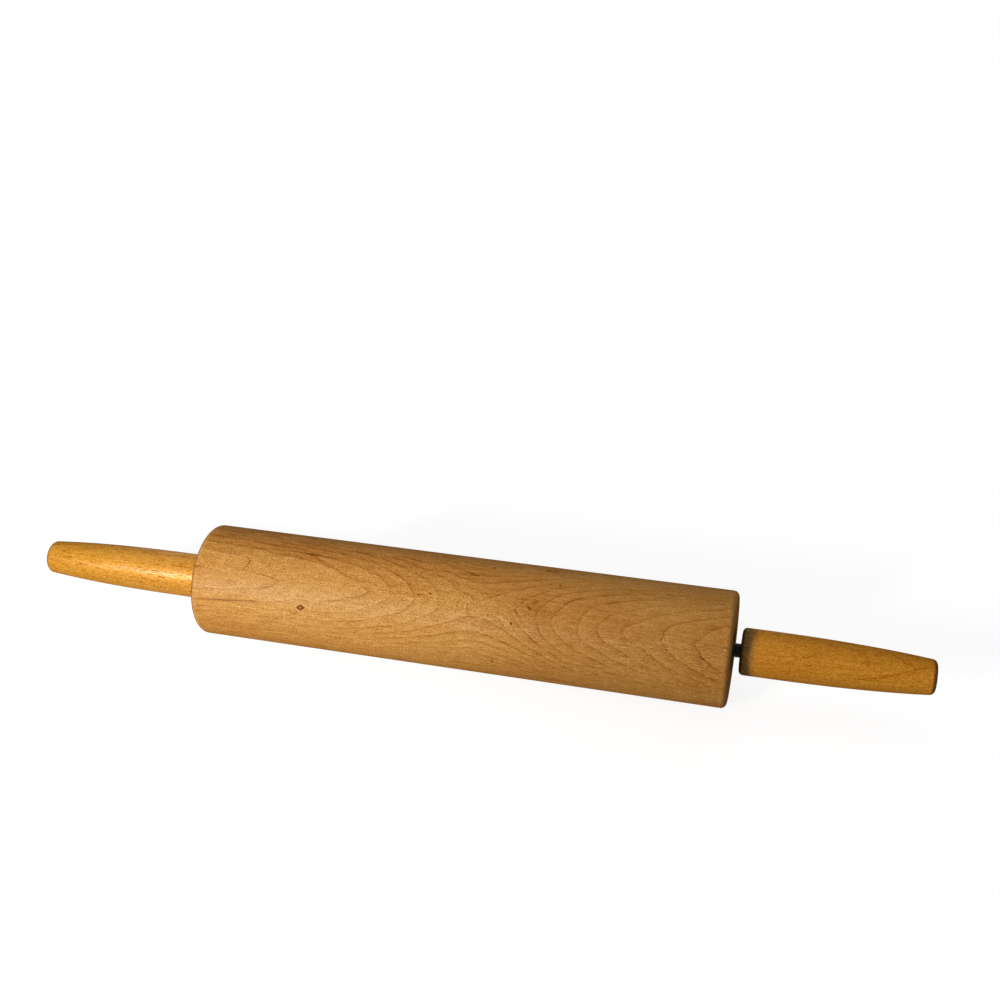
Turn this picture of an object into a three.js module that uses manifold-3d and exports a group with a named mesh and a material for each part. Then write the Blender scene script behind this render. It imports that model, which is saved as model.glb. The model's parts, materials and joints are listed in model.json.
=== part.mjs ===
// A baker's rolling pin: a maple barrel that turns on two ball bearings round a steel rod, with a maple
// handle clamped on each end of the rod. X runs along the pin and Z is up, in millimetres. The origin is on
// the surface that the pin lies on, under the middle of the barrel.
import * as THREE from "three";
import { mergeVertices } from "three/addons/utils/BufferGeometryUtils.js";
import Module from "manifold-3d";

// Barrel
const barrelLength = 381;
const barrelDiameter = 80;
const barrelEdgeRadius = 5;
const boreRoom = 1.6; // free space round the rod inside the barrel

// Handles
const handleLength = 127;
const handleInnerDiameter = 32.2;
const handleTaper = 4.5; // loss of radius from the inner end to the tip
const taperPower = 2.8; // the taper starts slowly and quickens towards the tip
const handleInnerEdgeRadius = 3;
const handleTipRounding = 3.6;
const handleTipRim = 0.6; // flat ring of wood between the plug and the tip's rounding
const handleGap = 5.3; // bare rod between barrel and handle

// Rod
const rodDiameter = 9.525;
const threadDiameter = 6.35;
const rodSocketDepth = 15; // how far the full rod enters a handle
const rodGrooveDepth = 0.9;
const threadProud = 1; // thread showing past the nut

// Ball bearing
const bearingOuterDiameter = 22.225;
const bearingWidth = 7.142;
const raceWall = 1.13; // ring thickness under the ball groove
const raceDepth = 0.75;
const ballCount = 7;
const cageWall = 1.2;
const shieldThickness = 0.3;
const shieldInset = 0.15;
const reliefDepth = 1.5; // keeps the inner ring off the barrel

// Dust cap and retaining ring
const capThickness = 1;
const capRim = 4; // flange width outside the bearing seat
const capSkirtLength = 3.6;
const capWall = 1;
const ringThickness = 0.9;
const ringRoom = 2.1; // free space between the retaining ring and the cap's skirt
const ringMouthAngle = Math.PI / 3;
const ringLugAngle = Math.PI / 7.5;
const ringBand = 2; // width of the ring between its lugs

// Handle fastening
const nutAcrossFlats = 11.11;
const nutHeight = 5.56;
const nutChamferSlope = Math.tan(Math.PI / 6);
const spannerRoom = 0.7;
const washerThickness = 1.6;
const plugLength = 8;
const plugChamfer = 0.5;

// Clearances
const fitClearance = 0.05; // pieces that are pressed or clamped together
const runningClearance = 0.06; // balls in their races
const pocketClearance = 0.12; // balls in the cage
const shieldClearance = 0.3; // shield over the inner ring
const capRodClearance = 0.5;
const threadClearance = 0.15;
const plugRoom = 1.2; // between the rod's end and the plug

// Sides of each turned piece
const barrelSides = 48;
const handleSides = 32;
const capSides = 32;
const smallSides = 24;
const roundSteps = 5;
const taperSteps = 8;
const ringSteps = 8;

// Radii that follow from the driving sizes
const barrelRadius = barrelDiameter / 2;
const rodRadius = rodDiameter / 2;
const threadRadius = threadDiameter / 2;
const seatRadius = bearingOuterDiameter / 2;
const ringBoreRadius = rodRadius + fitClearance;
const ballRadius = (seatRadius - ringBoreRadius) / 2 - raceWall - runningClearance;
const pitchRadius = (seatRadius + ringBoreRadius) / 2;
const grooveRadius = ballRadius + runningClearance;
const innerShoulderRadius = pitchRadius - grooveRadius + raceDepth;
const outerShoulderRadius = pitchRadius + grooveRadius - raceDepth;
const raceAngle = Math.acos((grooveRadius - raceDepth) / grooveRadius); // from its middle to its shoulder
const skirtInnerRadius = seatRadius - capWall;
const nutCornerRadius = nutAcrossFlats / 2 / Math.cos(Math.PI / 6);
const plugHoleRadius = nutCornerRadius + spannerRoom;

// Places along X on the right-hand side, from the middle of the barrel
const barrelEnd = barrelLength / 2;
const bearingFace = barrelEnd - capThickness - capSkirtLength - 2 * fitClearance;
const bearingBack = bearingFace - bearingWidth;
const bearingMiddle = bearingFace - bearingWidth / 2;
const ringFace = bearingFace + fitClearance;
const handleStart = barrelEnd + handleGap;
const handleEnd = handleStart + handleLength;
const rodShoulder = handleStart + rodSocketDepth - fitClearance;
const plugFace = handleEnd - plugLength;
const rodEnd = plugFace - plugRoom;
const nutFace = rodEnd - threadProud - nutHeight;
const washerFace = nutFace - fitClearance - washerThickness;
const plugHoleFloor = washerFace - fitClearance;

const wasm = await Module();
wasm.setup();

const bareMaple = new THREE.MeshStandardMaterial({ color: 0xc08a4a, roughness: 0.55 });
const varnishedMaple = new THREE.MeshStandardMaterial({ color: 0xcf9238, roughness: 0.3 });
const blackSteel = new THREE.MeshStandardMaterial({ color: 0x1c1a19, roughness: 0.45, metalness: 0.8 });
const bearingSteel = new THREE.MeshStandardMaterial({ color: 0xb8bcc0, roughness: 0.2, metalness: 1 });
const platedSteel = new THREE.MeshStandardMaterial({ color: 0xa9a49a, roughness: 0.35, metalness: 1 });
const springSteel = new THREE.MeshStandardMaterial({ color: 0x45423f, roughness: 0.4, metalness: 0.9 });

// Points [radius, x] along part of an ellipse, from one angle to another
function arc(radius, x, radialHalf, axialHalf, fromAngle, toAngle) {
  return Array.from({ length: roundSteps + 1 }, (_, i) => {
    const angle = fromAngle + ((toAngle - fromAngle) * i) / roundSteps;
    return [radius + radialHalf * Math.cos(angle), x + axialHalf * Math.sin(angle)];
  });
}

// A hole's corner radius, so that the middles of its flat sides lie at the stated radius
function holed(radius, sides) {
  return radius / Math.cos(Math.PI / sides);
}

// A profile of [radius, x] points turned round X, with a flat side facing straight down
function turned(profile, sides) {
  const closed = profile[0][0] > 0 ? [...profile, profile[0]] : profile;
  const points = closed.map(([radius, x]) => new THREE.Vector2(radius, x));
  return new THREE.LatheGeometry(points, sides, Math.PI / sides).rotateZ(-Math.PI / 2);
}

// A plain ring between two radii and two places along X
function turnedRing(innerRadius, outerRadius, fromX, toX, sides) {
  const hole = holed(innerRadius, sides);
  return turned([[hole, fromX], [outerRadius, fromX], [outerRadius, toX], [hole, toX]], sides);
}

function solidOf(geometry) {
  const bare = geometry.clone();
  bare.deleteAttribute("normal");
  bare.deleteAttribute("uv");
  const merged = mergeVertices(bare);
  const vertProperties = merged.getAttribute("position").array;
  const triVerts = new Uint32Array(merged.index.array);
  return new wasm.Manifold(new wasm.Mesh({ numProp: 3, vertProperties, triVerts }));
}

function geometryOf(solid) {
  const { vertProperties, triVerts } = solid.getMesh();
  const geometry = new THREE.BufferGeometry();
  geometry.setAttribute("position", new THREE.BufferAttribute(vertProperties.slice(), 3));
  geometry.setIndex(new THREE.BufferAttribute(triVerts.slice(), 1));
  geometry.computeVertexNormals();
  return geometry;
}

function piece(name, geometry, material) {
  const mesh = new THREE.Mesh(geometry, material);
  mesh.name = name;
  return mesh;
}

// The barrel's flat sides touch its true diameter, and its ends are cut for cap, bearing and rod
function barrelGeometry() {
  const edge = holed(barrelRadius, barrelSides) - barrelEdgeRadius;
  const hole = (radius) => holed(radius + fitClearance, barrelSides);
  const capSeat = barrelEnd - capThickness - fitClearance;
  const bearingSeat = bearingBack - fitClearance;
  const boreStart = bearingSeat - reliefDepth;
  const relief = hole((innerShoulderRadius + outerShoulderRadius) / 2);
  const rightEnd = [
    ...arc(edge, barrelEnd - barrelEdgeRadius, barrelEdgeRadius, barrelEdgeRadius, 0, Math.PI / 2),
    [hole(seatRadius + capRim), barrelEnd],
    [hole(seatRadius + capRim), capSeat],
    [hole(seatRadius), capSeat],
    [hole(seatRadius), bearingSeat],
    [relief, bearingSeat],
    [relief, boreStart],
    [hole(rodRadius + boreRoom), boreStart],
  ];
  const leftEnd = rightEnd.map(([radius, x]) => [radius, -x]).reverse();
  return turned([...rightEnd, ...leftEnd], barrelSides);
}

// The rod is stepped down to its threads, with a groove for each retaining ring
function rodGeometry() {
  const ringSeat = rodRadius - rodGrooveDepth;
  const ringSeatEnd = ringFace + ringThickness + fitClearance;
  const rightHalf = [
    [rodRadius, bearingFace],
    [ringSeat, bearingFace],
    [ringSeat, ringSeatEnd],
    [rodRadius, ringSeatEnd],
    [rodRadius, rodShoulder],
    [threadRadius, rodShoulder],
    [threadRadius, rodEnd],
    [0, rodEnd],
  ];
  const leftHalf = rightHalf.map(([radius, x]) => [radius, -x]).reverse();
  return turned([...leftHalf, ...rightHalf], smallSides);
}

function handleRadius(fromInnerEnd) {
  return handleInnerDiameter / 2 - handleTaper * (fromInnerEnd / handleLength) ** taperPower;
}

// The handle's outline swells to its inner end, and its bore is stepped for rod, thread and nut
function handleGeometry() {
  const hole = (radius) => holed(radius, handleSides);
  const socket = hole(rodRadius + fitClearance);
  const threadBore = hole(threadRadius + threadClearance);
  const plugHole = hole(plugHoleRadius);
  const taperEnd = handleLength - handleTipRounding;
  const edgeRadius = handleInnerEdgeRadius;
  const innerEdge = handleInnerDiameter / 2 - edgeRadius;
  const tipFlat = plugHole + handleTipRim;
  const tipDrop = handleRadius(taperEnd) - tipFlat;
  const taper = Array.from({ length: taperSteps - 1 }, (_, i) => {
    const along = edgeRadius + ((taperEnd - edgeRadius) * (i + 1)) / taperSteps;
    return [handleRadius(along), handleStart + along];
  });
  return turned([
    [socket, handleStart],
    ...arc(innerEdge, handleStart + edgeRadius, edgeRadius, edgeRadius, -Math.PI / 2, 0),
    ...taper,
    ...arc(tipFlat, handleStart + taperEnd, tipDrop, handleTipRounding, 0, Math.PI / 2),
    [plugHole, handleEnd],
    [plugHole, plugHoleFloor],
    [threadBore, plugHoleFloor],
    [threadBore, handleStart + rodSocketDepth],
    [socket, handleStart + rodSocketDepth],
  ], handleSides);
}

// The cap is a flange flush with the barrel's end and a skirt pressed into the bearing seat
function capGeometry() {
  const flangeBack = barrelEnd - capThickness;
  const skirtEnd = flangeBack - capSkirtLength;
  const hole = holed(rodRadius + capRodClearance, capSides);
  const skirtHole = holed(skirtInnerRadius, capSides);
  return turned([
    [hole, flangeBack],
    [skirtHole, flangeBack],
    [skirtHole, skirtEnd],
    [seatRadius, skirtEnd],
    [seatRadius, flangeBack],
    [seatRadius + capRim, flangeBack],
    [seatRadius + capRim, barrelEnd],
    [hole, barrelEnd],
  ], capSides);
}

function innerRingGeometry() {
  const hole = holed(ringBoreRadius, smallSides);
  return turned([
    [hole, bearingBack],
    [innerShoulderRadius, bearingBack],
    ...arc(pitchRadius, bearingMiddle, -grooveRadius, grooveRadius, -raceAngle, raceAngle),
    [innerShoulderRadius, bearingFace],
    [hole, bearingFace],
  ], smallSides);
}

function outerRingGeometry() {
  const shoulder = holed(outerShoulderRadius, smallSides);
  const race = arc(pitchRadius, bearingMiddle, grooveRadius, grooveRadius, raceAngle, -raceAngle);
  return turned([
    [shoulder, bearingBack],
    [seatRadius, bearingBack],
    [seatRadius, bearingFace],
    [shoulder, bearingFace],
    ...race.map(([radius, x]) => [holed(radius, smallSides), x]),
  ], smallSides);
}

// A shield closes one side of the bearing, fixed in the outer ring and clear of the inner one
function shieldGeometry(outwardX) {
  const far = bearingMiddle + outwardX * (bearingWidth / 2 - shieldInset);
  const near = far - outwardX * shieldThickness;
  const innerRadius = innerShoulderRadius + shieldClearance;
  const outerRadius = outerShoulderRadius - fitClearance;
  return turnedRing(innerRadius, outerRadius, Math.min(near, far), Math.max(near, far), smallSides);
}

function ballPlace(index) {
  const angle = (index / ballCount) * 2 * Math.PI;
  return new THREE.Vector3(bearingMiddle, pitchRadius * Math.sin(angle), pitchRadius * Math.cos(angle));
}

// The cage is a ring behind the balls whose pockets close part of the way round them
function cageGeometry() {
  const shieldBack = bearingWidth / 2 - shieldInset - shieldThickness;
  const back = bearingMiddle - (shieldBack + ballRadius) / 2;
  const front = bearingMiddle + ballRadius / 2;
  const ring = turnedRing(pitchRadius - cageWall / 2, pitchRadius + cageWall / 2, back, front, ballCount * 4);
  let cage = solidOf(ring);
  for (let index = 0; index < ballCount; index += 1) {
    const pocket = new THREE.IcosahedronGeometry(ballRadius + pocketClearance, 1);
    cage = cage.subtract(solidOf(pocket.translate(...ballPlace(index).toArray())));
  }
  return geometryOf(cage);
}

// The retaining ring is an E: an open band with three lugs that reach into the rod's groove
function retainingRingGeometry() {
  const outerRadius = skirtInnerRadius - ringRoom;
  const bandRadius = outerRadius - ringBand;
  const lugRadius = rodRadius - rodGrooveDepth + fitClearance;
  const start = -Math.PI / 2 + ringMouthAngle / 2;
  const end = start + 2 * Math.PI - ringMouthAngle;
  const reach = (end - start - ringLugAngle) / 2;
  const outline = new THREE.Shape();
  outline.absarc(0, 0, outerRadius, start, end, false);
  for (let lug = 2; lug >= 0; lug -= 1) {
    const lugStart = start + lug * reach;
    outline.absarc(0, 0, lugRadius, lugStart + ringLugAngle, lugStart, true);
    if (lug > 0) {
      outline.absarc(0, 0, bandRadius, lugStart, lugStart - reach + ringLugAngle, true);
    }
  }
  outline.closePath();
  const flat = new THREE.ExtrudeGeometry(outline, {
    depth: ringThickness, bevelEnabled: false, curveSegments: ringSteps,
  });
  return flat.rotateY(Math.PI / 2).translate(ringFace, 0, 0);
}

// The nut is a hexagon with its corners turned off at both faces
function nutGeometry() {
  const outline = new THREE.Shape();
  for (let corner = 0; corner < 6; corner += 1) {
    const angle = (corner / 6) * 2 * Math.PI;
    const point = [nutCornerRadius * Math.cos(angle), nutCornerRadius * Math.sin(angle)];
    if (corner === 0) {
      outline.moveTo(...point);
    } else {
      outline.lineTo(...point);
    }
  }
  const hole = new THREE.Path();
  hole.absarc(0, 0, holed(threadRadius + fitClearance, smallSides), 0, 2 * Math.PI, true);
  outline.holes.push(hole);
  const prism = new THREE.ExtrudeGeometry(outline, {
    depth: nutHeight, bevelEnabled: false, curveSegments: smallSides,
  });
  const faceRadius = nutAcrossFlats / 2;
  const chamfer = (nutCornerRadius - faceRadius) * nutChamferSlope;
  const blank = turned([
    [0, 0],
    [faceRadius, 0],
    [nutCornerRadius, chamfer],
    [nutCornerRadius, nutHeight - chamfer],
    [faceRadius, nutHeight],
    [0, nutHeight],
  ], capSides);
  const nut = solidOf(prism.rotateY(Math.PI / 2)).intersect(solidOf(blank));
  return geometryOf(nut).translate(nutFace, 0, 0);
}

function washerGeometry() {
  const innerRadius = threadRadius + threadClearance;
  const outerRadius = plugHoleRadius - fitClearance;
  return turnedRing(innerRadius, outerRadius, washerFace, nutFace - fitClearance, smallSides);
}

function plugGeometry() {
  const radius = plugHoleRadius - fitClearance;
  return turned([
    [0, plugFace],
    [radius - plugChamfer, plugFace],
    [radius, plugFace + plugChamfer],
    [radius, handleEnd],
    [0, handleEnd],
  ], smallSides);
}

// Everything at one end of the pin, built for the right-hand side
function endPieces(side) {
  const end = new THREE.Group();
  const add = (name, geometry, material) => end.add(piece(`${side}_${name}`, geometry, material));
  add("handle", handleGeometry(), varnishedMaple);
  add("handle_washer", washerGeometry(), platedSteel);
  add("handle_nut", nutGeometry(), platedSteel);
  add("handle_plug", plugGeometry(), varnishedMaple);
  add("dust_cap", capGeometry(), platedSteel);
  add("retaining_ring", retainingRingGeometry(), springSteel);
  add("bearing_outer_ring", outerRingGeometry(), bearingSteel);
  add("bearing_inner_ring", innerRingGeometry(), bearingSteel);
  add("outer_shield", shieldGeometry(1), platedSteel);
  add("inner_shield", shieldGeometry(-1), platedSteel);
  add("ball_cage", cageGeometry(), platedSteel);
  for (let index = 0; index < ballCount; index += 1) {
    const ball = new THREE.IcosahedronGeometry(ballRadius, 1);
    add(`ball_${index + 1}`, ball.translate(...ballPlace(index).toArray()), bearingSteel);
  }
  return end;
}

const rightEnd = endPieces("right");
const leftEnd = endPieces("left");
leftEnd.rotation.z = Math.PI;

const onAxis = new THREE.Group();
onAxis.position.z = barrelRadius;
onAxis.add(piece("barrel", barrelGeometry(), bareMaple));
onAxis.add(piece("axle_rod", rodGeometry(), blackSteel));
onAxis.add(leftEnd, rightEnd);

const rollingPin = new THREE.Group();
rollingPin.add(onAxis);

export default rollingPin;
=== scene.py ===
import json
import math

import bpy
import numpy as np
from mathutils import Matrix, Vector

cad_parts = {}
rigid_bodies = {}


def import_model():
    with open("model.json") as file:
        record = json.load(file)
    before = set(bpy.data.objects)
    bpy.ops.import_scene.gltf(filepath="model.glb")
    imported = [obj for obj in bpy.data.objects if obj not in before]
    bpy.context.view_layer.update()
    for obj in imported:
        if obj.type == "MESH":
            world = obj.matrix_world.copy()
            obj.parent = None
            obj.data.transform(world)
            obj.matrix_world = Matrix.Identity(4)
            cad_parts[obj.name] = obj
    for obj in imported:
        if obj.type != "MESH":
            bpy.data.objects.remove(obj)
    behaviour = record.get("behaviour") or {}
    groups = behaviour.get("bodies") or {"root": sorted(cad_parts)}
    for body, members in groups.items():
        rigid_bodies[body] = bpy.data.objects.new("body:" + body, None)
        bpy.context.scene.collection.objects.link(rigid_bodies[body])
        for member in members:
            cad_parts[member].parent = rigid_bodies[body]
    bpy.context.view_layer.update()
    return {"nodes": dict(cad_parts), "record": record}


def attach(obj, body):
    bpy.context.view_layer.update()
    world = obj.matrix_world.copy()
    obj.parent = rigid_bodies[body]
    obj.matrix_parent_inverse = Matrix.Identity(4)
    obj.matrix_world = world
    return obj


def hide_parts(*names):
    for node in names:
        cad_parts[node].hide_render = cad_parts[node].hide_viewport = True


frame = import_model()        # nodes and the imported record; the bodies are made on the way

print("frame loaded with", len(frame["nodes"]), "nodes")

mm = 0.001
axisHeight = 40.0        # the pin's axis above the counter, mm
bothSides = ("left", "right")

scene = bpy.context.scene
scene.view_settings.view_transform = "Standard"


# camera, where the photograph was taken from
cameraPlace = {"at": (0.2298, -0.78397, 0.54907), "tilt": 62.80, "turn": 14.45, "lens": 48.80, "sensor": 36.0}

lens = bpy.data.cameras.new("camera")
lens.lens = cameraPlace["lens"]
lens.sensor_fit = "HORIZONTAL"
lens.sensor_width = cameraPlace["sensor"]
camera = bpy.data.objects.new("camera", lens)
camera.location = cameraPlace["at"]
camera.rotation_euler = (math.radians(cameraPlace["tilt"]), 0.0, math.radians(cameraPlace["turn"]))
scene.collection.objects.link(camera)
scene.camera = camera
print("camera placed")


class Wire:
    # an output socket that works in sums like a number, each sum adding its Math node
    def __init__(self, finish, socket):
        self.finish = finish
        self.socket = socket

    def calc(self, operation, *others):
        return self.finish.math(operation, self, *others)

    def __add__(self, other):
        return self.calc("ADD", other)

    def __radd__(self, other):
        return self.finish.math("ADD", other, self)

    def __sub__(self, other):
        return self.calc("SUBTRACT", other)

    def __rsub__(self, other):
        return self.finish.math("SUBTRACT", other, self)

    def __mul__(self, other):
        return self.calc("MULTIPLY", other)

    def __rmul__(self, other):
        return self.finish.math("MULTIPLY", other, self)

    def __truediv__(self, other):
        return self.calc("DIVIDE", other)

    def __rtruediv__(self, other):
        return self.finish.math("DIVIDE", other, self)

    def __pow__(self, other):
        return self.calc("POWER", other)

    def __neg__(self):
        return self.calc("MULTIPLY", -1.0)

    def root(self):
        return self.calc("SQRT")

    def size(self):
        return self.calc("ABSOLUTE")

    def part(self):
        return self.calc("FRACT")

    def exp(self):
        return self.calc("EXPONENT")

    def most(self, other):
        return self.calc("MAXIMUM", other)

    def ease(self, low, high):        # 0 at low, 1 at high, smooth between
        sockets = {"Value": self, "From Min": low, "From Max": high}
        return self.finish.node("ShaderNodeMapRange", {"interpolation_type": "SMOOTHSTEP"}, sockets)


class Finish:
    # a node tree that is filled through node()
    def __init__(self, name=None, tree=None):
        if tree is None:
            self.material = bpy.data.materials.new(name)
            self.material.use_nodes = True
            tree = self.material.node_tree
        self.tree = tree
        tree.nodes.clear()

    def node(self, kind, settings=None, sockets=None, out=0):
        made = self.tree.nodes.new(kind)
        for key, value in (settings or {}).items():
            if key == "stops":
                ramp = made.color_ramp
                while len(ramp.elements) < len(value):
                    ramp.elements.new(0.5)
                for stop, (place, colour) in zip(ramp.elements, value):
                    stop.position = place
                    stop.color = (*colour, 1.0)
            else:
                setattr(made, key, value)
        for key, value in (sockets or {}).items():
            if isinstance(value, Wire):
                self.tree.links.new(value.socket, made.inputs[key])
            else:
                made.inputs[key].default_value = value
        return Wire(self, made.outputs[out]) if len(made.outputs) else None

    def math(self, operation, *values):
        return self.node("ShaderNodeMath", {"operation": operation}, dict(enumerate(values)))

    def blend(self, share, low, high, kind="MIX"):
        low = low if isinstance(low, Wire) else (*low, 1.0)
        high = high if isinstance(high, Wire) else (*high, 1.0)
        settings = {"data_type": "RGBA", "blend_type": kind}
        return self.node("ShaderNodeMix", settings, {0: share, 6: low, 7: high}, out=2)

    def ramp(self, value, stops):
        return self.node("ShaderNodeValToRGB", {"stops": stops}, {"Fac": value})

    def grained(self, colour, amount):
        # light grain is paler and dark grain redder: green and blue swing further than red
        swings = {0: (1.0, 1.6, 2.8), "Scale": amount}
        spread = self.node("ShaderNodeVectorMath", {"operation": "SCALE"}, swings)
        sockets = {0: colour, 1: spread, 2: colour}
        return self.node("ShaderNodeVectorMath", {"operation": "MULTIPLY_ADD"}, sockets)

    def mapped(self, place, move=(0, 0, 0), turn=(0, 0, 0), scale=(1, 1, 1)):
        sockets = {"Vector": place, "Location": move, "Rotation": turn, "Scale": scale}
        return self.node("ShaderNodeMapping", {}, sockets)

    def split(self, place):
        return [self.node("ShaderNodeSeparateXYZ", {}, {"Vector": place}, out=i) for i in range(3)]

    def joined(self, x, y, z):
        return self.node("ShaderNodeCombineXYZ", {}, {0: x, 1: y, 2: z})

    def noise(self, place, scale, detail, rough, move=(0, 0, 0)):
        # cloud noise; scale is cells per mm along each axis
        stretched = self.mapped(place, move=move, scale=scale)
        sockets = {"Vector": stretched, "Scale": 1.0, "Detail": detail, "Roughness": rough}
        return self.node("ShaderNodeTexNoise", {}, sockets)

    def layers(self, place, rows):
        # named noises; a row is the scale, detail, roughness and move
        return {name: self.noise(place, *row) for name, row in rows.items()}

    def aboutAxis(self, turn):
        # mm about the pin's axis: x along it, z towards the angle "turn" above the front, y up from there
        lean = math.radians(turn)
        where = self.node("ShaderNodeTexCoord", out=3)
        move = (0.0, -axisHeight * math.cos(lean), -axisHeight * math.sin(lean))
        scale = (1 / mm, 1 / mm, 1 / mm)
        return self.mapped(where, move=move, turn=(lean - math.pi / 2, 0.0, 0.0), scale=scale)

    def surface(self, sockets, height, strength, depth):
        bump = {"Height": height, "Strength": strength, "Distance": depth * mm}
        sockets = {**sockets, "Normal": self.node("ShaderNodeBump", {}, bump)}
        shader = self.node("ShaderNodeBsdfPrincipled", {}, sockets)
        self.node("ShaderNodeOutputMaterial", {}, {"Surface": shader})
        return self.material


# floor, background and lamps
studio = {
    "floorHalf": 9.0, "floorDrop": 0.05, "floorWhite": (0.36, 0.36, 0.36), "floorGlow": 0.87,
    "white": (1.0, 1.0, 1.0, 1.0), "ambient": 0.12, "sunAway": 2.0,
    "suns": {                  # compass angle from the front towards the left, height, strength, softness
        "window": {"round": 30.0, "up": 17.0, "strength": 1.44, "soft": 8.0},
        "across": {"round": -42.0, "up": 8.0, "strength": 0.27, "soft": 40.0},
        "above": {"round": 170.0, "up": 76.0, "strength": 0.30, "soft": 60.0},
        "behind": {"round": 166.0, "up": 6.0, "strength": 0.50, "soft": 40.0},
    },
    "patch": {"aim": (-0.22, 0.0, 0.05), "round": 20.0, "up": 17.0, "away": 1.8, "cone": 21.3, "power": 70.0,
              "size": 0.08},
}


def seenDirectly(finish):
    # 1 for what the camera sees, also by mirror or through glass
    direct = finish.node("ShaderNodeLightPath", out="Is Camera Ray")
    mirrored = finish.node("ShaderNodeLightPath", out="Is Glossy Ray")
    through = finish.node("ShaderNodeLightPath", out="Is Transmission Ray")
    return direct.most(mirrored).most(through)


def paleFloor():
    half = studio["floorHalf"]
    corners = [(-half, -half, 0), (half, -half, 0), (half, half, 0), (-half, half, 0)]
    mesh = bpy.data.meshes.new("pale_floor")
    mesh.from_pydata(corners, [], [(0, 1, 2, 3)])
    floor = bpy.data.objects.new("pale_floor", mesh)
    floor.location.z = -studio["floorDrop"] * mm
    scene.collection.objects.link(floor)
    white = Finish("floor_white")
    matt = white.node("ShaderNodeBsdfDiffuse", {}, {"Color": (*studio["floorWhite"], 1.0)})
    bright = {"Color": studio["white"], "Strength": studio["floorGlow"]}
    glow = white.node("ShaderNodeEmission", {}, bright)
    lit = white.node("ShaderNodeAddShader", {}, {0: matt, 1: glow})      # near white, keeps the pin's shadow
    mixed = white.node("ShaderNodeMixShader", {}, {0: seenDirectly(white), 1: matt, 2: lit})
    white.node("ShaderNodeOutputMaterial", {}, {"Surface": mixed})
    mesh.materials.append(white.material)


def whiteWorld():
    world = bpy.data.worlds.new("white_room")
    world.use_nodes = True
    scene.world = world
    room = Finish(tree=world.node_tree)
    dim = {"Color": studio["white"], "Strength": studio["ambient"]}
    soft = room.node("ShaderNodeBackground", {}, dim)
    white = room.node("ShaderNodeBackground", {}, {"Color": studio["white"], "Strength": 1.0})
    mixed = room.node("ShaderNodeMixShader", {}, {0: seenDirectly(room), 1: soft, 2: white})
    room.node("ShaderNodeOutputWorld", {}, {"Surface": mixed})


def lampWay(lamp):
    # from the pin towards the lamp
    compass = math.radians(lamp["round"])
    up = math.radians(lamp["up"])
    return Vector((-math.sin(compass) * math.cos(up), -math.cos(compass) * math.cos(up), math.sin(up)))


def hang(name, light, lamp, place):
    holder = bpy.data.objects.new(name, light)
    holder.location = place
    holder.rotation_euler = (-lampWay(lamp)).to_track_quat("-Z", "Y").to_euler()
    scene.collection.objects.link(holder)


def softSun(name, lamp):
    light = bpy.data.lights.new(name, "SUN")
    light.energy = lamp["strength"]
    light.angle = math.radians(lamp["soft"])
    hang(name, light, lamp, lampWay(lamp) * studio["sunAway"])


def softPatch(name, lamp):
    # a wide soft-edged pool of light on the left half
    light = bpy.data.lights.new(name, "SPOT")
    light.energy = lamp["power"]
    light.spot_size = math.radians(lamp["cone"])
    light.spot_blend = 1.0
    light.shadow_soft_size = lamp["size"]
    hang(name, light, lamp, Vector(lamp["aim"]) + lampWay(lamp) * lamp["away"])


paleFloor()
whiteWorld()
for sunName, sun in studio["suns"].items():
    softSun(sunName, sun)
softPatch("patch", studio["patch"])
print("floor, background and lamps set")


# turned shapes: profiles are (x, r) rows in mm, walked so that the material is on the right-hand side
def edgeArc(x, r, xHalf, rHalf, fromAngle, toAngle, rows):
    # part of an ellipse about (x, r): x + xHalf sin a, r + rHalf cos a
    angle = np.radians(np.linspace(fromAngle, toAngle, rows))
    return np.column_stack((x + xHalf * np.sin(angle), r + rHalf * np.cos(angle)))


def roundAngles(sides):
    return np.linspace(0.0, 2 * np.pi, sides, endpoint=False)[None, :]


def turnedGrid(x, r, sides):
    # place of row i and side j: x, -r cos a, r sin a, with a = 0 at the front and rising upwards
    x, r, angle = np.broadcast_arrays(x, r, roundAngles(sides))
    return np.stack((x, -r * np.cos(angle), r * np.sin(angle)), axis=-1)


def gridQuads(rows, sides):
    # corners of the quad after each row and side, for a grid that closes on itself both ways
    row, side = np.meshgrid(np.arange(rows), np.arange(sides), indexing="ij")
    nextRow = (row + 1) % rows
    nextSide = (side + 1) % sides
    near = (row * sides + side, nextRow * sides + side)
    far = (nextRow * sides + nextSide, row * sides + nextSide)
    return np.stack(near + far, axis=-1)


def loopFaces(rows, sides):
    return gridQuads(rows, sides).reshape(-1, 4).tolist()


def cappedFaces(rows, sides):
    # the first and last rows are each closed by a fan to one point
    quads = gridQuads(rows, sides)[:-1].reshape(-1, 4)
    side = np.arange(sides)
    follow = (side + 1) % sides
    last = (rows - 1) * sides
    first = np.column_stack((side, follow, np.full(sides, rows * sides)))
    end = np.column_stack((last + follow, last + side, np.full(sides, rows * sides + 1)))
    return quads.tolist() + first.tolist() + end.tolist()


def capPoints(grid, profile):
    # the grid's points followed by the two points on the axis
    onAxis = np.array([(profile[0, 0], 0.0, 0.0), (profile[-1, 0], 0.0, 0.0)])
    return np.vstack((grid.reshape(-1, 3), onAxis))


def sideTurn(side):
    # the left end is the right end turned half round the upright axis
    return np.array((1.0, 1.0, 1.0)) if side == "right" else np.array((-1.0, -1.0, 1.0))


def scatter(rng, x, wear):
    # rows of x, angle, half length and half height in mm, and depth
    count = wear["count"]
    angle = rng.uniform(0, 2 * np.pi, count)
    sizes = [rng.uniform(*wear[key], count) for key in ("length", "height", "depth")]
    return np.column_stack((x, angle, *sizes))


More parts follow.
